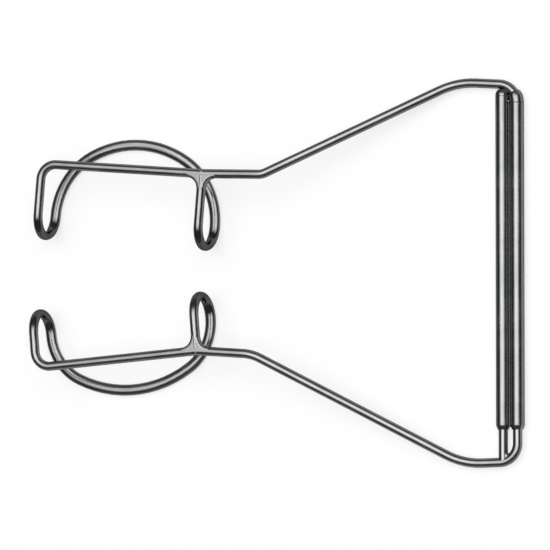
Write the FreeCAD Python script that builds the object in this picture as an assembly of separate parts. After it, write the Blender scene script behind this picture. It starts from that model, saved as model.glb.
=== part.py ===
import FreeCAD, Part
import math
import os

# Eye speculum of bent wire: two lid blades on a double-barrel slide. Millimetres.
# While it is drawn, x = 0 is the slide's axis, y = 0 the middle between the bars and z = 0 the bars' plane.
# At the end it is all moved so that the origin is on the floor, below the middle of the instrument.
# +X runs from the blades to the sleeve, +Y towards the upper lid and +Z away from the eye.

V = FreeCAD.Vector

# Wire
WIRE_DIA = 0.74            # round wire of the frame
LOOP_WIDTH = 0.88          # the wire under the lid is flattened to this width
LOOP_THICK = 0.62          # and to this thickness

# Lid blades, the same on both sides
BLADE_WIDTH = 14.0         # between the centre-lines of the two hooks of a blade
BAR_OFFSET = 7.6           # from the middle to the middle of each bar
HOOK_DEPTH = 3.4           # from the bar back to the loop under the lid, each hook is a half-round bend
LOOP_SIDE_TURN = 60.0      # degrees that the loop's two side arcs turn, its top arc turns the rest
BAR_CORNER = 1.25          # centre-line radius at the far end of the bar
JUNCTION_BEND = 3.0        # centre-line radius where the bar runs on as the neck
BUTT_GAP = 0.1             # between a wire's cut end and the wire it meets, filled by the braze

# Upper blade and arm
UPPER_BAR_ANGLE = 4.8      # slope of the bar in degrees
UPPER_HOOK = 5.72          # from the bar to the hook's end
UPPER_REACH = 2.12         # how far the loop stands out beyond the bar
UPPER_NECK = 5.11          # from the near hook to the kink, along X
UPPER_NECK_RISE = -0.19    # and outwards
UPPER_ARM_RUN = 15.25      # from the kink to the shoulder, along X
UPPER_ARM_RISE = 7.03      # and outwards
UPPER_END_RUN = 4.93       # from the shoulder to the slide's axis
UPPER_END_FALL = 0.38      # and inwards

# Lower blade and arm
LOWER_BAR_ANGLE = 4.8
LOWER_HOOK = 4.45
LOWER_REACH = 2.34
LOWER_NECK = 4.72
LOWER_NECK_RISE = 0.33
LOWER_ARM_RUN = 16.56
LOWER_ARM_RISE = 8.70
LOWER_END_RUN = 4.48
LOWER_END_FALL = 0.14

# Bends of both arms, as centre-line radii
KINK_BEND = 1.2            # where the arm turns outwards
SHOULDER_BEND = 5.6        # where it turns towards the sleeve
SLEEVE_BEND = 1.5          # the corner at the sleeve

# Sleeve and what slides in it
BARREL_DIA = 1.13          # outside of each tube
BARREL_GAP = 0.05          # braze gap between the two tubes
BARREL_CHAMFER = 0.10      # outer chamfer of the tubes' open ends
SLIDE_CLEAR = 0.03         # radial clearance of a rod in its tube
ARM_CLEAR = 0.16           # between the inner tube's upper end and the wire's corner above it
CLOSING_TRAVEL = 1.0       # from the drawn position until the lower corner meets the tubes
STOP_CLEAR = 0.04          # left between corner and tubes when closed
PLUG_LENGTH = 4.0          # upper wire inside the outer tube
PLUG_CLEAR = 0.53          # left between the two wires' ends inside that tube when closed
GUIDE_LEAD = 2.5           # the guide rod reaches further in than the lower wire by this much
ROD_CHAMFER = 0.1          # deburred ends of the two sliding rods

# Braze
JUNCTION_FILLET = 0.85     # radius of the fillets in the two inner corners of a junction
FILLET_THICK = 0.56        # thickness of those fillets, a little less than the wire
FILLET_CHAMFER = 0.14      # chamfer of their outer edges
SEAM_HEIGHT = 0.66         # braze between the tubes, front to back
CAP_SHOULDER = 0.80        # height of the braze on the outer tube's end
CAP_CHAMFER = 0.3          # chamfer of that braze
BRIDGE_WIDTH = 0.8         # front to back, where that braze runs over to the inner tube
WEDGE_TOP = 0.95           # braze between guide rod and corner, above the arm's centre-line

# Sizes that follow from the ones above
R = WIRE_DIA / 2
W = BLADE_WIDTH / 2
TUBE_R = BARREL_DIA / 2
HOOK_BEND = HOOK_DEPTH / 2
BORE_R = R + SLIDE_CLEAR
INNER_X = -(BARREL_DIA + BARREL_GAP)
SLEEVE_Z = -(HOOK_DEPTH + LOOP_THICK / 2 - TUBE_R)     # sleeve and loops lie on one plane
FRONT = V(0, 0, 1)


def unit(v):
    return v * (1.0 / v.Length)


class Blade:
    """Directions and main points of one blade and its arm, side is 1 for the upper and -1 for the lower one."""

    def __init__(self, side, bar_angle, hook, reach, neck, neck_rise, arm_run, arm_rise, end_run, end_fall):
        a = math.radians(bar_angle)
        near_y = BAR_OFFSET - W * math.sin(a)
        kink_y = near_y + neck_rise
        self.side = side
        self.hook = hook
        self.reach = reach
        self.along = V(math.cos(a), -side * math.sin(a), 0)
        self.out = V(math.sin(a), side * math.cos(a), 0)
        self.shoulder = V(-end_run, side * (kink_y + arm_rise), SLEEVE_Z)
        self.corner = V(0, self.shoulder.y - side * end_fall, SLEEVE_Z)
        # the bend at the sleeve starts this far from the corner
        self.bend_start = SLEEVE_BEND * math.tan(math.radians(45) - math.atan2(end_fall, end_run) / 2)
        self.kink = V(-end_run - arm_run, side * kink_y, 0)
        self.near = V(self.kink.x - neck, side * near_y, 0)
        self.far = self.at(-W, 0)

    def at(self, u, v, z=0.0):
        """Point beside the bar: u along it from its middle, v outwards from it."""
        return self.near + self.along * (u - W) + self.out * v + FRONT * z

    def corner_inside(self, x):
        """How far the inner side of the bend at the sleeve lies from the corner, along Y, at x."""
        return self.bend_start - math.sqrt((SLEEVE_BEND - R) ** 2 - (x + SLEEVE_BEND) ** 2)


def straight(a, b):
    """Edge from a to b, or none where the bends beside it touch."""
    return [Part.LineSegment(a, b).toShape()] if (b - a).Length > 1e-6 else []


def bent_line(points, radii):
    """Straight runs through the points, with an arc of the given radius at each inner point."""
    edges = []
    start = points[0]
    for a, b, c, r in zip(points, points[1:], points[2:], radii):
        back, on = unit(a - b), unit(c - b)
        half = back.getAngle(on) / 2
        cut = r / math.tan(half)
        centre = b + unit(back + on) * (r / math.sin(half))
        p, q = b + back * cut, b + on * cut
        edges += straight(start, p) + [Part.Arc(p, centre + unit(b - centre) * r, q).toShape()]
        start = q
    return Part.Wire(edges + straight(start, points[-1]))


def round_section(centre, wide):
    """Outline of the round wire, with its seam where the flattened outline has it."""
    curve = Part.Circle(centre, wide.cross(FRONT), R)
    curve.XAxis = wide
    return Part.Wire(curve.toShape())


def flat_section(centre, wide):
    """Outline of the flattened wire, wide across the loop and thin from front to back."""
    curve = Part.Ellipse(centre + wide * (LOOP_WIDTH / 2), centre + FRONT * (LOOP_THICK / 2), centre)
    return Part.Wire(curve.toShape())


def swept(spine, sections):
    pipe = Part.BRepOffsetAPI.MakePipeShell(spine)
    for section in sections:
        pipe.add(section)
    pipe.build()
    pipe.makeSolid()
    return pipe.shape()


def rod(x, y0, y1, radius):
    """Solid round bar along Y at the sleeve's height."""
    return Part.makeCylinder(radius, y1 - y0, V(x, y0, SLEEVE_Z), V(0, 1, 0))


def end_edge(shape, y):
    """The round edge of a bar along Y that lies at height y."""
    return [e for e in shape.Edges if abs(e.BoundBox.YMin - y) < 1e-4 and abs(e.BoundBox.YMax - y) < 1e-4][0]


def hook_turn(b, u):
    """The hook's half-round bend, along which the round front leg becomes the flattened loop."""
    end = -b.hook + HOOK_BEND
    spine = bent_line([b.at(u, end), b.at(u, -b.hook), b.at(u, -b.hook, -HOOK_DEPTH), b.at(u, end, -HOOK_DEPTH)],
                      [HOOK_BEND, HOOK_BEND])
    return swept(spine, [round_section(b.at(u, end), b.along), flat_section(b.at(u, end, -HOOK_DEPTH), b.along)])


def loop(b):
    """Loop that lies under the lid: a three-centred arch of the flattened wire, each arc turned about its centre."""
    end = -b.hook + HOOK_BEND
    turn = math.radians(LOOP_SIDE_TURN)
    share = 1 / math.cos(turn) - math.tan(turn)
    side_radius = (b.reach - end - share * W) / (1 - share)
    inset = W - side_radius
    section = Part.Face(flat_section(b.at(-W, end, -HOOK_DEPTH), b.along))
    arcs = []
    for u, v, degrees in [(-inset, end, LOOP_SIDE_TURN),
                          (0, end - inset * math.tan(turn), 180 - 2 * LOOP_SIDE_TURN),
                          (inset, end, LOOP_SIDE_TURN)]:
        centre = b.at(u, v, -HOOK_DEPTH)
        arcs.append(section.revolve(centre, FRONT, -b.side * degrees))
        section.rotate(centre, FRONT, -b.side * degrees)
    return arcs


def round_wire(points, radii):
    """Round wire bent along the points."""
    ends = Part.Circle(points[0], points[1] - points[0], R)
    return bent_line(points, radii).makePipe(Part.Face(Part.Wire(ends.toShape())))


def closing_leg(b):
    """The wire's last straight run, from the near hook to its cut end below the bar."""
    leg_end = -b.hook + HOOK_BEND
    return Part.makeCylinder(R, -R - BUTT_GAP - leg_end, b.at(W, leg_end), b.out)


def blade_wire(b, rod_end):
    """One blade with its arm and the rod in the outer tube, bent from a single wire."""
    frame = round_wire([V(0, rod_end, SLEEVE_Z), b.corner, b.shoulder, b.kink, b.near, b.far,
                        b.at(-W, -b.hook + HOOK_BEND)],
                       [SLEEVE_BEND, SHOULDER_BEND, KINK_BEND, JUNCTION_BEND, BAR_CORNER])
    return frame.fuse([hook_turn(b, -W), hook_turn(b, W), closing_leg(b)] + loop(b)).removeSplitter()


def corner_fillet(b, toward):
    """Concave web in the corner between the loop's cut end and the bar or the neck."""
    f = JUNCTION_FILLET
    leg = b.out * -1
    half = toward.getAngle(leg) / 2
    foot = (R + f) / math.tan(half)
    centre = b.near + unit(toward + leg) * ((R + f) / math.sin(half))
    foot_a, foot_b = b.near + toward * foot, b.near + leg * foot
    p, q = centre + unit(foot_a - centre) * f, centre + unit(foot_b - centre) * f
    arc = Part.Arc(p, centre + unit(b.near - centre) * f, q).toShape()
    outline = Part.Wire(straight(b.near, foot_a) + straight(foot_a, p) + [arc]
                        + straight(q, foot_b) + straight(foot_b, b.near))
    outline.translate(FRONT * (-FILLET_THICK / 2))
    web = Part.Face(outline).extrude(FRONT * FILLET_THICK)
    rims = [e for e in web.Edges if isinstance(e.Curve, Part.Circle)]
    return web.makeChamfer(FILLET_CHAMFER, rims)


def junction_braze(b):
    """Y-shaped braze that closes the blade's loop on its own bar."""
    plug = Part.makeCylinder(R, R + BUTT_GAP, b.at(W, -R - BUTT_GAP), b.out)
    webs = [corner_fillet(b, b.along * -1), corner_fillet(b, unit(b.kink - b.near))]
    bar = round_wire([b.far, b.near, b.kink], [JUNCTION_BEND])
    return plug.fuse(webs).cut([bar, closing_leg(b)]).removeSplitter()


def barrel(x, bottom, top):
    """Tube that is chamfered at its open lower end and square at its brazed upper end."""
    tube = rod(x, bottom, top, TUBE_R)
    tube = tube.makeChamfer(BARREL_CHAMFER, [end_edge(tube, bottom)])
    return tube.cut(rod(x, bottom, top, BORE_R))


def seam_braze(bottom, top):
    """Braze in the two valleys between the tubes, and in the narrow gap that joins them."""
    y0 = bottom + 2 * BARREL_CHAMFER
    bar = Part.makeBox(TUBE_R, top - y0, SEAM_HEIGHT, V((INNER_X - TUBE_R) / 2, y0, SLEEVE_Z - SEAM_HEIGHT / 2))
    return bar.cut([rod(x, bottom, top, TUBE_R) for x in (0, INNER_X)])


def top_braze(b, wire, inner_top, outer_top):
    """Braze that holds the upper wire on the outer tube and closes the inner one below the arm."""
    shoulder_top = outer_top + CAP_SHOULDER
    cap_top = b.corner.y - R / 2
    shoulder, cap = rod(0, outer_top, shoulder_top, TUBE_R), rod(INNER_X, inner_top, cap_top, TUBE_R)
    shoulder = shoulder.makeChamfer(CAP_CHAMFER, [end_edge(shoulder, shoulder_top)])
    cap = cap.makeChamfer(CAP_CHAMFER, [end_edge(cap, cap_top)])
    bridge = Part.makeBox(-R - INNER_X, shoulder_top - inner_top, BRIDGE_WIDTH,
                          V(INNER_X, inner_top, SLEEVE_Z - BRIDGE_WIDTH / 2))
    return shoulder.fuse([cap, bridge]).cut(wire).removeSplitter()


def guide_rod(bottom, top):
    bar = rod(INNER_X, bottom, top, R)
    return bar.makeChamfer(ROD_CHAMFER, [end_edge(bar, top)])


def guide_braze(b, wire, guide, guide_bottom):
    """Braze under the guide rod and in the wedge between it and the wire's corner."""
    y0, z0 = b.corner.y + R / 2, SLEEVE_Z - FILLET_THICK / 2
    plug = rod(INNER_X, y0, guide_bottom, R)
    block = Part.makeBox(-INNER_X, WEDGE_TOP - R / 2, FILLET_THICK, V(INNER_X, y0, z0))
    inside = Part.makeCylinder(SLEEVE_BEND, FILLET_THICK, b.corner + V(-SLEEVE_BEND, b.bend_start, z0 - SLEEVE_Z))
    return plug.fuse(block.common(inside)).cut([wire, guide]).removeSplitter()


def build():
    up = Blade(1, UPPER_BAR_ANGLE, UPPER_HOOK, UPPER_REACH, UPPER_NECK, UPPER_NECK_RISE,
               UPPER_ARM_RUN, UPPER_ARM_RISE, UPPER_END_RUN, UPPER_END_FALL)
    low = Blade(-1, LOWER_BAR_ANGLE, LOWER_HOOK, LOWER_REACH, LOWER_NECK, LOWER_NECK_RISE,
                LOWER_ARM_RUN, LOWER_ARM_RISE, LOWER_END_RUN, LOWER_END_FALL)
    bottom = low.corner.y + low.bend_start + CLOSING_TRAVEL + STOP_CLEAR
    outer_top = up.corner.y - up.bend_start
    inner_top = up.corner.y - up.corner_inside(INNER_X + TUBE_R) - ARM_CLEAR
    plug_end = outer_top - PLUG_LENGTH
    leg_top = plug_end - CLOSING_TRAVEL - PLUG_CLEAR
    guide_bottom = low.corner.y + low.corner_inside(INNER_X + R) + BUTT_GAP

    upper = blade_wire(up, plug_end)
    lower = blade_wire(low, leg_top)
    lower = lower.makeChamfer(ROD_CHAMFER, [end_edge(lower, leg_top)])
    guide = guide_rod(guide_bottom, leg_top + GUIDE_LEAD)
    return {
        "upper_blade_wire": upper,
        "upper_junction_braze": junction_braze(up),
        "lower_blade_wire": lower,
        "lower_junction_braze": junction_braze(low),
        "outer_barrel": barrel(0, bottom, outer_top),
        "inner_barrel": barrel(INNER_X, bottom, inner_top),
        "barrel_seam_braze": seam_braze(bottom, outer_top),
        "barrel_top_braze": top_braze(up, upper, inner_top, outer_top),
        "guide_rod": guide,
        "guide_rod_braze": guide_braze(low, lower, guide, guide_bottom),
    }


def stand_on_floor(shapes):
    """Moves everything so that the origin is on the floor below the middle of the instrument."""
    box = Part.makeCompound(list(shapes.values())).optimalBoundingBox(False, False)
    move = V(-(box.XMin + box.XMax) / 2, -(box.YMin + box.YMax) / 2, -box.ZMin)
    for shape in shapes.values():
        shape.translate(move)
    return move


os.makedirs("parts", exist_ok=True)
pieces = build()
moved = stand_on_floor(pieces)
print("moved by", [round(c, 4) for c in moved])
for name, shape in pieces.items():
    box = shape.optimalBoundingBox(False, False)
    print(name, "solids", len(shape.Solids), "valid", shape.isValid(), "mm3", round(shape.Volume, 4),
          [round(c, 3) for c in (box.XMin, box.XMax, box.YMin, box.YMax, box.ZMin, box.ZMax)])
    shape.exportStep("parts/" + name + ".step")
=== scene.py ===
import math

import bpy
import numpy as np
from mathutils import Matrix, Vector


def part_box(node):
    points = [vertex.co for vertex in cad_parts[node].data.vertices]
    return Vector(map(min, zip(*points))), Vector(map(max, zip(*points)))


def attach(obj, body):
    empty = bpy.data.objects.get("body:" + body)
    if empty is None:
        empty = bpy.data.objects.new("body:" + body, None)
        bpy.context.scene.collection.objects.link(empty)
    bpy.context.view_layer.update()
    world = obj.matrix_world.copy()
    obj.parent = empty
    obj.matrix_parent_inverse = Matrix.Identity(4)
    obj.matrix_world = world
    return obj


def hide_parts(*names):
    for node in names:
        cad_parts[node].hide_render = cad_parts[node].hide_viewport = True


# Eye speculum of polished steel wire. Lengths are in millimetres, in the drawing's own axes:
# x = 0 is the slide's axis, y = 0 the middle between the bars and z = 0 the bars' plane.

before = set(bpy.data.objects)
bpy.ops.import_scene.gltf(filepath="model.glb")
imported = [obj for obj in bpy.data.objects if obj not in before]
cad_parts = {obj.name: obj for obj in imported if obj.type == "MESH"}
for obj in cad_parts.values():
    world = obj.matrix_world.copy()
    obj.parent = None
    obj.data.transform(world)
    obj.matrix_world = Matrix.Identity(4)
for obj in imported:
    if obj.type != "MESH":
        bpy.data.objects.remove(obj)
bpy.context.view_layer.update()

# Wire and lid blades, the sizes of the solids
WIRE_DIA = 0.74
LOOP_WIDTH = 0.88          # flattened wire of the loop under the lid, in the loop's plane
LOOP_THICK = 0.62          # and square to it
BLADE_WIDTH = 14.0         # from hook to hook
BAR_OFFSET = 7.6           # from y = 0 to the middle of each bar
HOOK_DEPTH = 3.4           # from the bar back to the loop
LOOP_SIDE_TURN = math.radians(60)   # turn of the loop's two side arcs
BAR_CORNER = 1.25          # radius of the bend from bar to far hook
JUNCTION_BEND = 3.0        # from neck to bar
SHOULDER_BEND = 5.6        # from arm to end run
SLEEVE_BEND = 1.5          # and from end run to sleeve
# Only the lower kink is bent wider than in the solids, and lies within 0.06 of them
UPPER = dict(side=1, bar_angle=4.8, hook=5.72, reach=2.12, neck=5.11, neck_rise=-0.19,
             arm_run=15.25, arm_rise=7.03, end_run=4.93, end_fall=0.38, kink_bend=1.2)
LOWER = dict(side=-1, bar_angle=4.8, hook=4.45, reach=2.34, neck=4.72, neck_rise=0.33,
             arm_run=16.56, arm_rise=8.70, end_run=4.48, end_fall=0.14, kink_bend=3.2)

# Sleeve, the sizes of the solids
BARREL_DIA = 1.13
BARREL_GAP = 0.05          # between the tubes
SLIDE_CLEAR = 0.03         # between wire and bore, all round
ARM_CLEAR = 0.16           # between the inner tube's top and the wire's bend
CLOSING_TRAVEL = 1.0       # from rest to the closest
STOP_CLEAR = 0.04          # left below the tubes at the closest
PLUG_LENGTH = 4.0          # upper wire inside the outer tube
PLUG_CLEAR = 0.53          # left between it and the leg at the closest
GUIDE_LEAD = 2.5           # guide rod's end beyond the leg's
ROD_CHAMFER = 0.1

# Soft detail that the solids leave out
RIM_DEEP = 0.14            # taper of the tubes' lower ends, across the wall
RIM_LONG = 0.36            # and along the tube
CROWN_ROUND = 0.02         # rounded edge of their upper ends
FILLET = 0.85              # radius of the braze fillets beside a junction
FILLET_HALF = 0.36         # half their thickness
FILLET_EDGE = 0.20         # rounding of their edges
SEAM_HALF = 0.13           # half the height of the braze between the tubes
SEAM_HOLLOW = 0.08         # depth of the hollow in its front and back
POLISH = 0.002             # taken off every surface by polishing

# How far the braze flows
BRAZE_REACH = 1.7          # from a junction along each of its wires
BRAZE_PAST = 0.2           # and past it, inside the others
ROD_FOOT = 0.1             # guide rod's lower end above the lower wire's corner
ROD_BRAZED = (0.05, 0.85)  # stretch of the rod that is brazed, above the same corner
ARC_BRAZED = (0.05, 1.15)  # and stretch of the bend, in radians from its lowest point
COLLAR_TURN = 0.62         # top braze's turn round the upper wire's bend, in radians
COLLAR_FULL = 0.22         # and the part of it that is as thick as the tube
SADDLE_DIA = 0.4           # top braze's bridge between the two tubes
SADDLE_RAISE = 0.13        # and its middle's height above the outer tube's top

R = WIRE_DIA / 2 - POLISH
W = BLADE_WIDTH / 2
HOOK_BEND = HOOK_DEPTH / 2
TUBE_R = BARREL_DIA / 2 - POLISH
BORE_R = R + SLIDE_CLEAR
INNER_X = -(BARREL_DIA + BARREL_GAP)
SLEEVE_Z = -(HOOK_DEPTH + LOOP_THICK / 2 - TUBE_R)
FRONT = Vector((0, 0, 1))

AROUND = 36                # facets round a wire, and half those round a tube
BRAZE_AROUND = 28          # facets round a bar that braze is melted from
STEP = math.radians(4.5)   # turn of a bend from one ring to the next
METRES = 0.001


class Blade:
    """Directions and main points of one blade and its arm."""

    def __init__(self, side, bar_angle, hook, reach, neck, neck_rise,
                 arm_run, arm_rise, end_run, end_fall, kink_bend):
        a = math.radians(bar_angle)
        near_y = BAR_OFFSET - W * math.sin(a)
        kink_y = near_y + neck_rise
        half_turn = math.radians(45) - math.atan2(end_fall, end_run) / 2
        self.side = side
        self.hook = hook
        self.reach = reach
        self.kink_bend = kink_bend
        self.along = Vector((math.cos(a), -side * math.sin(a), 0))
        self.out = Vector((math.sin(a), side * math.cos(a), 0))
        self.shoulder = Vector((-end_run, side * (kink_y + arm_rise), SLEEVE_Z))
        self.corner = Vector((0, self.shoulder.y - side * end_fall, SLEEVE_Z))
        self.bend_start = SLEEVE_BEND * math.tan(half_turn)
        self.bend_centre = self.corner + Vector((-SLEEVE_BEND, -side * self.bend_start, 0))
        self.kink = Vector((-end_run - arm_run, side * kink_y, 0))
        self.near = Vector((self.kink.x - neck, side * near_y, 0))
        self.far = self.at(-W, 0)

    def at(self, u, v, z=0.0):
        """Point beside the bar: u along it from its middle, v outwards from it."""
        return self.near + self.along * (u - W) + self.out * v + FRONT * z


up, low = Blade(**UPPER), Blade(**LOWER)
BOTTOM = low.corner.y + low.bend_start + CLOSING_TRAVEL + STOP_CLEAR
OUTER_TOP = up.corner.y - up.bend_start
under_bend = math.sqrt((SLEEVE_BEND - R) ** 2 - (INNER_X + TUBE_R + SLEEVE_BEND) ** 2)
INNER_TOP = up.bend_centre.y + under_bend - ARM_CLEAR
PLUG_END = OUTER_TOP - PLUG_LENGTH
LEG_TOP = PLUG_END - CLOSING_TRAVEL - PLUG_CLEAR

tube_low, tube_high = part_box("outer_barrel")
MOVE = Vector(((tube_low.x + tube_high.x) / 2 / METRES,
               tube_low.y / METRES - BOTTOM,
               (tube_low.z + tube_high.z) / 2 / METRES - SLEEVE_Z))


# Centre-lines

def arc(centre, start, axis, angle):
    """Points from start round centre, after start itself."""
    count = max(2, round(abs(angle) / STEP))
    return [centre + Matrix.Rotation(angle * i / count, 3, axis) @ (start - centre)
            for i in range(1, count + 1)]


def run(a, b, every=1.2):
    """Points of a straight run, after a itself."""
    count = max(1, round((b - a).length / every)) if (b - a).length > 1e-4 else 0
    return [a.lerp(b, i / count) for i in range(1, count + 1)]


def bent_line(points, radii):
    """Points of a line with an arc at each of its inner corners."""
    line = [points[0]]
    for a, b, c, r in zip(points, points[1:], points[2:], radii):
        back, on = (a - b).normalized(), (c - b).normalized()
        half = back.angle(on) / 2
        start = b + back * (r / math.tan(half))
        centre = b + (back + on).normalized() * (r / math.sin(half))
        line += run(line[-1], start)
        line += arc(centre, start, (back.cross(on)).normalized(), half * 2 - math.pi)
    return line + run(line[-1], points[-1])


def hook_turn(b, u):
    """From the front leg round the hook's end to where the loop under the lid starts."""
    end = -b.hook + HOOK_BEND
    return bent_line([b.at(u, end), b.at(u, -b.hook), b.at(u, -b.hook, -HOOK_DEPTH),
                      b.at(u, end, -HOOK_DEPTH)], [HOOK_BEND, HOOK_BEND])


def loop_line(b):
    """Three-centred arch under the lid, after its first point."""
    end = -b.hook + HOOK_BEND
    share = 1 / math.cos(LOOP_SIDE_TURN) - math.tan(LOOP_SIDE_TURN)
    inset = W - (b.reach - end - share * W) / (1 - share)
    line = [b.at(-W, end, -HOOK_DEPTH)]
    for u, v, angle in [(-inset, end, LOOP_SIDE_TURN),
                        (0, end - inset * math.tan(LOOP_SIDE_TURN),
                         math.pi - 2 * LOOP_SIDE_TURN),
                        (inset, end, LOOP_SIDE_TURN)]:
        line += arc(b.at(u, v, -HOOK_DEPTH), line[-1], FRONT, -b.side * angle)
    return line[1:]


def blade_line(b, rod_end):
    """Centre-line of a blade's wire, and the shares of flattening and of painted shade at each
    point.
    """
    bend_shade_ramp = 6.0          # painted shade on the hooks' bends, full but for a ramp over their first and last sixth
    into_bar = -R * 0.4    # where the wire's end lies inside the bar
    line = bent_line([Vector((0, rod_end, SLEEVE_Z)), b.corner, b.shoulder, b.kink, b.near, b.far,
                      b.at(-W, -b.hook + HOOK_BEND)],
                     [SLEEVE_BEND, SHOULDER_BEND, b.kink_bend, JUNCTION_BEND, BAR_CORNER])
    flat = [0.0] * len(line)
    dull = [0.0] * len(line)
    for turn, forward in ((hook_turn(b, -W), True), (hook_turn(b, W), False)):
        lengths = np.cumsum([0] + [(q - p).length for p, q in zip(turn, turn[1:])])
        shares = list(lengths / lengths[-1])
        # Painted shade on the hook's bend: its share, full but for a ramp at the turn's two ends
        bend = [min(1.0, bend_shade_ramp * s, bend_shade_ramp * (1 - s)) for s in shares]
        if forward:
            arch = loop_line(b)
            line += turn[1:] + arch
            flat += shares[1:] + [1.0] * len(arch)
            dull += bend[1:] + [0.0] * len(arch)
        else:
            line += turn[-2::-1]
            flat += shares[-2::-1]
            dull += bend[-2::-1]
    leg = run(line[-1], b.at(W, into_bar))
    return line + leg, flat + [0.0] * len(leg), dull + [0.0] * len(leg)


# Meshes

def new_piece(name, mesh_data, body, material, node_name):
    """Smooth piece from points in the drawing's axes, riding on a body in place of its CAD node."""
    verts, faces, *attributes = mesh_data
    mesh = bpy.data.meshes.new(name)
    mesh.from_pydata([(Vector(v) + MOVE) * METRES for v in verts], [], faces)
    mesh.validate()
    for key, values in attributes[0].items() if attributes else ():
        values = np.array(values, np.float32)
        vector = values.ndim == 2
        layer = mesh.attributes.new(key, "FLOAT_VECTOR" if vector else "FLOAT", "POINT")
        layer.data.foreach_set("vector" if vector else "value", values.ravel())
    mesh.materials.append(material)
    mesh.shade_smooth()
    mesh.set_sharp_from_angle(angle=math.radians(35))
    obj = bpy.data.objects.new(name, mesh)
    bpy.context.scene.collection.objects.link(obj)
    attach(obj, body)
    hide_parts(node_name)


def band(rings, around, closed=False):
    """Faces between rings of points, that close on themselves or end in two caps."""
    faces = [(i * around + j, i * around + (j + 1) % around,
              (i + 1) % rings * around + (j + 1) % around, (i + 1) % rings * around + j)
             for i in range(rings if closed else rings - 1) for j in range(around)]
    if closed:
        return faces
    return faces + [tuple(range(around - 1, -1, -1)),
                    tuple(range((rings - 1) * around, rings * around))]


def carried_axes(line, index, axis):
    """Tangents, and the section's wide axis carried without twist from where it is known."""
    n = len(line)
    tangents = [(line[min(i + 1, n - 1)] - line[max(i - 1, 0)]).normalized() for i in range(n)]
    wide = [None] * n
    wide[index] = (axis - tangents[index] * axis.dot(tangents[index])).normalized()
    for order, step in ((range(index + 1, n), 1), (range(index - 1, -1, -1), -1)):
        for i in order:
            w = wide[i - step]
            wide[i] = (w - tangents[i] * w.dot(tangents[i])).normalized()
    return tangents, wide


def wire_mesh(line, axis, index=0, flat=None, dull=None, burnish=None, chamfer=0.0):
    """Wire along a line, with the shares of flattening, painted shade and burnishing at each point.

    Its wide axis is the given one at the point of that index. The chamfer is at the first end.
    """
    tangents, wide = carried_axes(line, index, axis)
    lengths = list(np.cumsum([0] + [(q - p).length for p, q in zip(line, line[1:])]))
    flat, dull, burnish = (share or [0.0] * len(line) for share in (flat, dull, burnish))
    rings = [list(ring) + [1.0] for ring in zip(line, tangents, wide, flat, lengths, burnish, dull)]
    if chamfer:
        p, t, w, s, at, k, d, _ = rings[0]
        rings[0] = [p + t * chamfer, t, w, s, chamfer, k, d, 1.0]
        rings.insert(0, [p, t, w, s, 0.0, 1.0, d, 1 - chamfer / R])
    verts = []
    attributes = {"grain": [], "around": [], "burnish": [], "dull": []}
    for p, t, w, s, at, k, d, scale in rings:
        side = t.cross(w)
        a = (R + (LOOP_WIDTH / 2 - R) * s) * scale
        c = (R + (LOOP_THICK / 2 - R) * s) * scale
        for j in range(AROUND):
            turn = 2 * math.pi * j / AROUND
            cos, sin = math.cos(turn), math.sin(turn)
            verts.append(p + w * (a * cos) + side * (c * sin))
            attributes["grain"].append((at, R * cos, R * sin))
            attributes["around"].append((side * (c * cos) - w * (a * sin)).normalized())
            attributes["burnish"].append(k)
            # share of painted shade, which darkens the colour on the hook bends
            attributes["dull"].append(d)
    return verts, band(len(rings), AROUND), attributes


def lathe_mesh(x, profile):
    """Closed ring turned about a line along Y at x. The profile lists (radius, y, burnish)."""
    verts = []
    attributes = {"grain": [], "around": [], "burnish": []}
    count = 2 * AROUND
    for radius, y, k in profile:
        for j in range(count):
            turn = 2 * math.pi * j / count
            cos, sin = math.cos(turn), math.sin(turn)
            verts.append((x + radius * cos, y, SLEEVE_Z + radius * sin))
            attributes["grain"].append((y, radius * cos, radius * sin))
            attributes["around"].append((-sin, 0, cos))
            attributes["burnish"].append(k)
    faces = [face[::-1] for face in band(len(profile), count, closed=True)]
    return verts, faces, attributes


def barrel_profile(bottom, top):
    """Section of a tube wall, from its tapered lower rim up the outside and back down the bore."""
    rim = ((1.0, 0.0), (0.94, 0.03), (0.86, 0.09), (0.10, 0.86), (0.03, 0.95), (0.0, 1.06))
    taper = [(TUBE_R - RIM_DEEP * d, bottom + RIM_LONG * h, 1 - h) for d, h in rim]
    outside = [(TUBE_R, y, 0.0) for y in (bottom + 0.8, (bottom + top) / 2, top - 0.5)]
    crown = [(TUBE_R - CROWN_ROUND * (1 - math.cos(a)), top - CROWN_ROUND * (1 - math.sin(a)), 0.0)
             for a in np.linspace(0, math.pi / 2, 5)]
    bore = [(BORE_R, top, 0.0), (BORE_R, bottom + 0.5, 0.4), (BORE_R, bottom, 1.0)]
    return taper + outside + crown + bore


def prism_mesh(outline, y0, y1, steps=24):
    """Closed bar along Y whose section is the outline, a list of (x, z)."""
    verts = [(x, y0 + (y1 - y0) * i / steps, z) for i in range(steps + 1) for x, z in outline]
    return verts, [face[::-1] for face in band(steps + 1, len(outline))]


def seam_outline():
    """Section of the braze between the tubes: a hollow fillet in each valley, and a neck."""
    middle = INNER_X / 2
    half_width = -middle - math.sqrt(TUBE_R ** 2 - SEAM_HALF ** 2) + 0.01
    front = [(middle + half_width * (1 - 2 * s),
              SLEEVE_Z + SEAM_HALF - SEAM_HOLLOW * math.sin(math.pi * s))
             for s in np.linspace(0, 1, 9)]
    neck = [(middle - 0.03, SLEEVE_Z + 0.12), (middle - 0.03, SLEEVE_Z - 0.12)]
    return front + neck + [(2 * middle - x, 2 * SLEEVE_Z - z) for x, z in front + neck]


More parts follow.
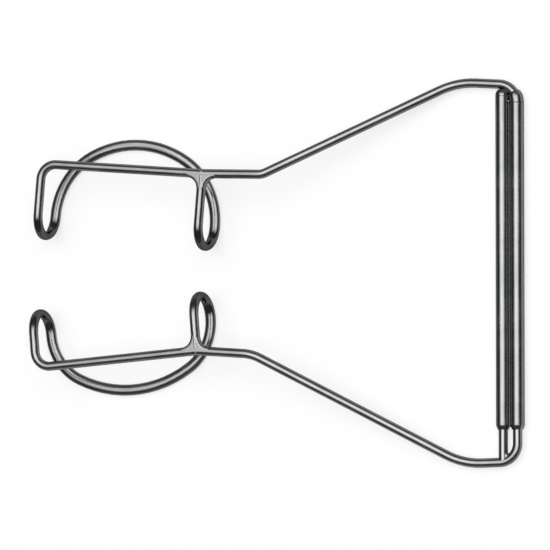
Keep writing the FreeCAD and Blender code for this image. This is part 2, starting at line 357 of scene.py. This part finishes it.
def web_mesh(corner, d1, d2, columns=10, levels=9):
    """Flat web with a rounded edge in the corner between two wires, reaching into both."""
    half = d1.angle(d2) / 2
    bisector = (d1 + d2).normalized()
    centre = corner + bisector * ((R + FILLET) / math.sin(half))
    feet = [corner + d * ((R + FILLET) / math.tan(half)) for d in (d1, d2)]
    a, c = [(foot - centre).normalized() for foot in feet]
    spread = a.angle(c)
    verts = []
    for level in np.linspace(-math.pi / 2, math.pi / 2, levels):
        z = FRONT * (FILLET_HALF * math.sin(level))
        reach = FILLET + FILLET_EDGE * (1 - math.cos(level))
        verts += [corner - bisector * 0.1 + z, feet[0] + z]
        for t in np.linspace(0, 1, columns + 1):
            ray = (a * math.sin((1 - t) * spread) + c * math.sin(t * spread)) / math.sin(spread)
            verts.append(centre + ray * reach + z)
        verts.append(feet[1] + z)
    return verts, band(levels, columns + 4)


def tube_between(points, radii):
    """Closed round bar through the points."""
    tangents, wide = carried_axes(points, 0, Vector((0.31, 0.2, 0.93)))
    turns = [2 * math.pi * j / BRAZE_AROUND for j in range(BRAZE_AROUND)]
    verts = [p + (w * math.cos(a) + t.cross(w) * math.sin(a)) * r
             for p, t, w, r in zip(points, tangents, wide, radii) for a in turns]
    return verts, band(len(points), BRAZE_AROUND)


def melted(name, meshes, voxel, rounds):
    """Closed meshes flowed into one, as braze does: a voxel union, then smoothed."""
    verts, faces = [], []
    for v, f in meshes:
        faces += [tuple(i + len(verts) for i in face) for face in f]
        verts += v
    mesh = bpy.data.meshes.new(name + "_raw")
    mesh.from_pydata(verts, [], faces)
    obj = bpy.data.objects.new(name + "_raw", mesh)
    bpy.context.scene.collection.objects.link(obj)
    union = obj.modifiers.new("union", "REMESH")
    union.mode = "VOXEL"
    union.voxel_size = voxel
    flow = obj.modifiers.new("flow", "SMOOTH")
    flow.factor = 0.5
    flow.iterations = rounds
    depsgraph = bpy.context.evaluated_depsgraph_get()
    done = bpy.data.meshes.new_from_object(obj.evaluated_get(depsgraph), depsgraph=depsgraph)
    points = [v.co.copy() for v in done.vertices]
    polygons = [tuple(p.vertices) for p in done.polygons]
    bpy.data.objects.remove(obj)
    return points, polygons


# Materials

def node(tree, kind, inputs=None, **settings):
    made = tree.nodes.new(kind)
    for key, value in settings.items():
        setattr(made, key, value)
    for key, value in (inputs or {}).items():
        if isinstance(value, bpy.types.NodeSocket):
            tree.links.new(value, made.inputs[key])
        else:
            made.inputs[key].default_value = value
    return made


def combined(operation):
    """A function that puts two values through a Math node of that operation."""
    return lambda tree, a, b=0.0: node(tree, "ShaderNodeMath", {0: a, 1: b},
                                       operation=operation).outputs[0]


plus, minus, times = combined("ADD"), combined("SUBTRACT"), combined("MULTIPLY")
lesser, greater, size_of = combined("MINIMUM"), combined("MAXIMUM"), combined("ABSOLUTE")


def noise(tree, where, scale, detail=6.0, rough=0.6):
    """Noise from 0 to 1, with its cells per unit of length along each axis."""
    placed = node(tree, "ShaderNodeVectorMath", {0: where, 1: scale}, operation="MULTIPLY")
    return node(tree, "ShaderNodeTexNoise",
                {"Vector": placed.outputs[0], "Scale": 1.0, "Detail": detail, "Roughness": rough},
                noise_dimensions="3D").outputs["Fac"]


def mixed(tree, factor, a, b):
    """Colour between a and b."""
    made = node(tree, "ShaderNodeMix", data_type="RGBA")
    tree.links.new(factor, made.inputs[0])
    made.inputs[6].default_value = (*a, 1)
    made.inputs[7].default_value = (*b, 1)
    return made.outputs[2]


def ramp(tree, value, low_at, high_at, low_to=0.0, high_to=1.0):
    """Smooth step from one value to another."""
    return node(tree, "ShaderNodeMapRange",
                {"Value": value, "From Min": low_at, "From Max": high_at,
                 "To Min": low_to, "To Max": high_to},
                interpolation_type="SMOOTHSTEP").outputs[0]


def share_of(tree, name, output="Fac"):
    """A value that the mesh carries at each point."""
    return node(tree, "ShaderNodeAttribute", attribute_name=name).outputs[output]


def empty_tree(owner):
    owner.use_nodes = True
    owner.node_tree.nodes.clear()
    return owner.node_tree


def metal(tree, colour, roughness, edge, height, bump, distance, **more):
    """Metal whose reflections darken towards its outline by the edge value."""
    normal = node(tree, "ShaderNodeBump",
                  {"Strength": bump, "Distance": distance, "Height": height}).outputs[0]
    shader = node(tree, "ShaderNodeBsdfPrincipled",
                  {"Base Color": colour, "Metallic": 1.0, "Roughness": roughness,
                   "Specular Tint": (edge, edge, edge, 1), "Normal": normal, **more})
    node(tree, "ShaderNodeOutputMaterial", {"Surface": shader.outputs[0]})


def steel(name, dark, light, rough, streak, edge, bump, grain):
    """Polished steel: drawn grain, cross scratches, handling marks, burnished places, and painted
    shade that darkens the hook bends.
    """
    material = bpy.data.materials.new(name)
    tree = empty_tree(material)
    where = share_of(tree, "grain", "Vector")
    burnish = share_of(tree, "burnish")
    drawn = noise(tree, where, grain)
    fine = noise(tree, where, tuple(3.1 * g for g in grain), 4.0)
    marks = noise(tree, where, (0.55, 0.9, 0.9), 5.0, 0.55)
    scratch = ramp(tree, noise(tree, where, (26.0, 1.6, 1.6), 3.0), 0.60, 0.74)

    tone = plus(tree, times(tree, drawn, 0.5), times(tree, marks, 0.5))
    tone = plus(tree, ramp(tree, tone, 0.36, 0.64), times(tree, burnish, 0.35))
    # Painted shade: the colour is darkened by up to 0.55 on the hook bends, by the share the mesh
    # carries there
    shade_factor = minus(tree, 1.0, times(tree, share_of(tree, "dull"), 0.55))
    colour = node(tree, "ShaderNodeVectorMath",
                  {0: mixed(tree, lesser(tree, tone, 1.0), dark, light), "Scale": shade_factor},
                  operation="SCALE").outputs[0]

    roughness = plus(tree, rough, times(tree, minus(tree, drawn, 0.5), streak))
    roughness = plus(tree, roughness, ramp(tree, marks, 0.45, 0.75, 0.0, 0.07))
    roughness = plus(tree, roughness, times(tree, scratch, 0.05))
    roughness = minus(tree, roughness, times(tree, burnish, 0.05))

    height = plus(tree, times(tree, drawn, 0.5), times(tree, fine, 0.3))
    height = minus(tree, height, times(tree, scratch, 0.25))
    metal(tree, colour, roughness, edge, height, bump, 0.000012,
          Anisotropic=0.2, Tangent=share_of(tree, "around", "Vector"))
    return material


def braze(name, dark, light, rough, edge, bump):
    """Polished silver braze: soft ripples, a mottled tone and small pits."""
    material = bpy.data.materials.new(name)
    tree = empty_tree(material)
    where = node(tree, "ShaderNodeTexCoord").outputs["Object"]
    ripple = noise(tree, where, (2600.0,) * 3, 3.0, 0.5)
    mottle = noise(tree, where, (7000.0,) * 3, 5.0, 0.6)
    pits = ramp(tree, noise(tree, where, (21000.0,) * 3, 2.0), 0.66, 0.78)
    tone = minus(tree, ramp(tree, mottle, 0.35, 0.65), times(tree, pits, 0.4))
    colour = mixed(tree, greater(tree, tone, 0.0), dark, light)
    roughness = plus(tree, ramp(tree, mottle, 0.3, 0.7, rough - 0.05, rough + 0.06),
                     times(tree, pits, 0.15))
    height = minus(tree, plus(tree, ripple, times(tree, mottle, 0.25)), times(tree, pits, 0.2))
    metal(tree, colour, roughness, edge, height, bump, 0.00002)
    return material


wire_steel = steel("wire_steel", dark=(0.164, 0.166, 0.171), light=(0.224, 0.227, 0.232),
                   rough=0.20, streak=0.08, edge=0.4, bump=0.35, grain=(0.35, 7.0, 7.0))
tube_steel = steel("tube_steel", dark=(0.170, 0.173, 0.178), light=(0.227, 0.230, 0.235),
                   rough=0.22, streak=0.10, edge=0.25, bump=0.4, grain=(0.22, 9.0, 9.0))
silver_braze = braze("silver_braze", dark=(0.164, 0.164, 0.164), light=(0.217, 0.217, 0.217),
                     rough=0.22, edge=0.25, bump=0.3)


# The two blade wires, and the braze that closes each loop on its bar

for b, name, rod_end, slides, body in (
        (up, "upper", PLUG_END, False, "upper_frame"),
        (low, "lower", LEG_TOP, True, "lower_frame")):
    line, flat, dull = blade_line(b, rod_end)
    in_bore = [1.0 if slides and abs(p.x) < 0.01 else 0.0 for p in line]
    new_piece(name + "_wire",
              wire_mesh(line, b.along, flat.index(1.0), flat, dull, in_bore,
                        ROD_CHAMFER if slides else 0.0),
              body, wire_steel, name + "_blade_wire")
    bar, leg, neck = -b.along, -b.out, (b.kink - b.near).normalized()
    arms = [tube_between([b.near - d * BRAZE_PAST, b.near + d * BRAZE_REACH], [R * 0.99] * 2)
            for d in (bar, leg, neck)]
    webs = [web_mesh(b.near, bar, leg), web_mesh(b.near, leg, neck)]
    junction = name + "_junction_braze"
    new_piece(junction + "_fillets", melted(junction, arms + webs, voxel=0.035, rounds=16),
              body, silver_braze, junction)


def on_guide(ys):
    """Points on the guide rod's line."""
    return [Vector((INNER_X, y, SLEEVE_Z)) for y in ys]


# Guide rod, and the braze that holds it in the lower wire's corner
foot_y = low.corner.y
rod = on_guide(np.linspace(LEG_TOP + GUIDE_LEAD, foot_y + ROD_FOOT, 30))
new_piece("guide_rod_bar",
          wire_mesh(rod, Vector((1, 0, 0)), burnish=[1.0] * len(rod), chamfer=ROD_CHAMFER),
          "lower_frame", wire_steel, "guide_rod")

bend = [low.bend_centre + Vector((math.sin(a), -math.cos(a), 0)) * SLEEVE_BEND
        for a in np.linspace(*ARC_BRAZED, 12)]
foot = on_guide(foot_y + np.linspace(*ROD_BRAZED, 6))
wedge = [Vector((INNER_X + x, foot_y + y, SLEEVE_Z)) for x, y in ((0.12, 0.42), (0.42, 0.50))]
new_piece("guide_rod_braze_puddle",
          melted("guide_braze", [tube_between(bend, [R * 0.97] * len(bend)),
                                 tube_between(foot, [R * 0.97] * len(foot)),
                                 tube_between(wedge, [R * 0.8] * len(wedge))],
                 voxel=0.03, rounds=12),
          "lower_frame", silver_braze, "guide_rod_braze")

# Sleeve: two tubes and the braze between and above them
for x, top, name in ((0.0, OUTER_TOP, "outer_barrel"), (INNER_X, INNER_TOP, "inner_barrel")):
    new_piece(name + "_tube", lathe_mesh(x, barrel_profile(BOTTOM, top)),
              "upper_frame", tube_steel, name)
new_piece("barrel_seam_fill", prism_mesh(seam_outline(), BOTTOM + 0.2, OUTER_TOP),
          "upper_frame", silver_braze, "barrel_seam_braze")

# The top braze: a collar round the wire's bend, a dome over the inner tube and a saddle between
turns = np.linspace(0.0, COLLAR_TURN, 14)
collar = [up.bend_centre + Vector((math.cos(a), math.sin(a), 0)) * SLEEVE_BEND for a in turns]
narrowing = [max(0.0, (a - COLLAR_FULL) / (COLLAR_TURN - COLLAR_FULL)) for a in turns]
neck_r = R * 0.9
collar_radii = [neck_r + (TUBE_R - neck_r) * math.sqrt(1 - s ** 2) for s in narrowing]
dome = on_guide(np.linspace(INNER_TOP - 0.02, up.corner.y - R * 0.75, 12))
dome_radii = [TUBE_R * math.sqrt(1 - 0.8 * max(0.0, (i - 2) / 9) ** 2) for i in range(len(dome))]
saddle = [Vector((x, OUTER_TOP + SADDLE_RAISE, SLEEVE_Z))
          for x in np.linspace(INNER_X, -SADDLE_DIA / 2, 6)]
new_piece("barrel_top_puddle",
          melted("top_braze", [tube_between(collar, collar_radii), tube_between(dome, dome_radii),
                               tube_between(saddle, [SADDLE_DIA / 2] * len(saddle))],
                 voxel=0.03, rounds=3),
          "upper_frame", silver_braze, "barrel_top_braze")


# Floor and light

def card_material(name, albedo, white_share):
    """Matt white card that keeps the shadow. Camera, metal and glass see a share as plain white."""
    material = bpy.data.materials.new(name)
    tree = empty_tree(material)
    where = node(tree, "ShaderNodeTexCoord").outputs["Object"]
    fibre = noise(tree, where, (420.0,) * 3, 5.0)
    shade = mixed(tree, fibre, (albedo * 0.995,) * 3, (albedo,) * 3)
    card = node(tree, "ShaderNodeBsdfDiffuse", {"Color": shade})
    white = node(tree, "ShaderNodeEmission", {"Color": (1, 1, 1, 1), "Strength": 1.0})
    ray = node(tree, "ShaderNodeLightPath").outputs
    seen = greater(tree, greater(tree, ray["Is Camera Ray"], ray["Is Glossy Ray"]),
                   ray["Is Transmission Ray"])
    both = node(tree, "ShaderNodeMixShader",
                {0: times(tree, seen, white_share), 1: card.outputs[0], 2: white.outputs[0]})
    node(tree, "ShaderNodeOutputMaterial", {"Surface": both.outputs[0]})
    return material


def make_floor(half, drop):
    """Square card, in metres, a hair below the object."""
    mesh = bpy.data.meshes.new("floor")
    mesh.from_pydata([(-half, -half, 0), (half, -half, 0), (half, half, 0), (-half, half, 0)],
                     [], [(0, 1, 2, 3)])
    mesh.materials.append(card_material("floor_card", albedo=0.95, white_share=0.7))
    floor = bpy.data.objects.new("floor", mesh)
    floor.location.z = -drop
    bpy.context.scene.collection.objects.link(floor)


def make_world(centre, half, soft, top, sides, ends):
    """Soft-edged oblong light box overhead, over dim sides and paler ends along Y."""
    world = bpy.data.worlds.new("studio")
    bpy.context.scene.world = world
    tree = empty_tree(world)
    where = node(tree, "ShaderNodeTexCoord").outputs["Generated"]
    offset = node(tree, "ShaderNodeVectorMath", {0: where, 1: (*centre, 0)}, operation="SUBTRACT")
    away = node(tree, "ShaderNodeVectorMath", {0: offset.outputs[0]}, operation="ABSOLUTE")
    spans = node(tree, "ShaderNodeSeparateXYZ", {0: away.outputs[0]}).outputs
    across_x = ramp(tree, spans["X"], half[0] - soft, half[0] + soft, top, 0.0)
    across_y = ramp(tree, spans["Y"], half[1] - soft, half[1] + soft, 1.0, 0.0)
    axes = node(tree, "ShaderNodeSeparateXYZ", {0: where}).outputs
    above = ramp(tree, axes["Z"], 0.0, 0.2)
    overhead = times(tree, times(tree, across_x, across_y), above)
    around = ramp(tree, size_of(tree, axes["Y"]), 0.55, 0.95, sides, ends)
    background = node(tree, "ShaderNodeBackground",
                      {"Color": (1, 1, 1, 1), "Strength": plus(tree, overhead, around)})
    node(tree, "ShaderNodeOutputWorld", {"Surface": background.outputs[0]})


def make_sun(name, towards, strength, angle):
    light = bpy.data.lights.new(name, "SUN")
    light.energy = strength
    light.angle = math.radians(angle)
    lamp = bpy.data.objects.new(name, light)
    lamp.rotation_euler = Vector(towards).to_track_quat("Z", "Y").to_euler()
    bpy.context.scene.collection.objects.link(lamp)


make_floor(half=3.0, drop=0.00002)
make_world(centre=(0.06, 0.12), half=(0.52, 0.44), soft=0.15, top=3.1, sides=0.085, ends=0.23)
make_sun("key", towards=(0.0, 0.15, 0.98), strength=0.16, angle=30)


# Camera, which looks down at the instrument from its right and a little from the lower lid's side

CAMERA_YAW = math.radians(22)
CAMERA_PITCH = math.radians(3)
CAMERA_LENS = 332.8                             # with a sensor 36 mm wide
AIM = Vector((-18.5, 0, 0))                     # between the two kinks
CAMERA_FROM_AIM = Vector((-0.53, -1.16, 400))   # to the picture's right, up and back

camera_data = bpy.data.cameras.new("camera")
camera_data.sensor_width = 36
camera_data.lens = CAMERA_LENS
camera_data.clip_start, camera_data.clip_end = 0.05, 20
camera = bpy.data.objects.new("camera", camera_data)
turned = Matrix.Rotation(CAMERA_YAW, 3, "Y") @ Matrix.Rotation(CAMERA_PITCH, 3, "X")
placed = turned.to_4x4()
placed.translation = (MOVE + AIM + turned @ CAMERA_FROM_AIM) * METRES
camera.matrix_world = placed
bpy.context.scene.collection.objects.link(camera)
bpy.context.scene.camera = camera
bpy.context.scene.view_settings.view_transform = "Standard"
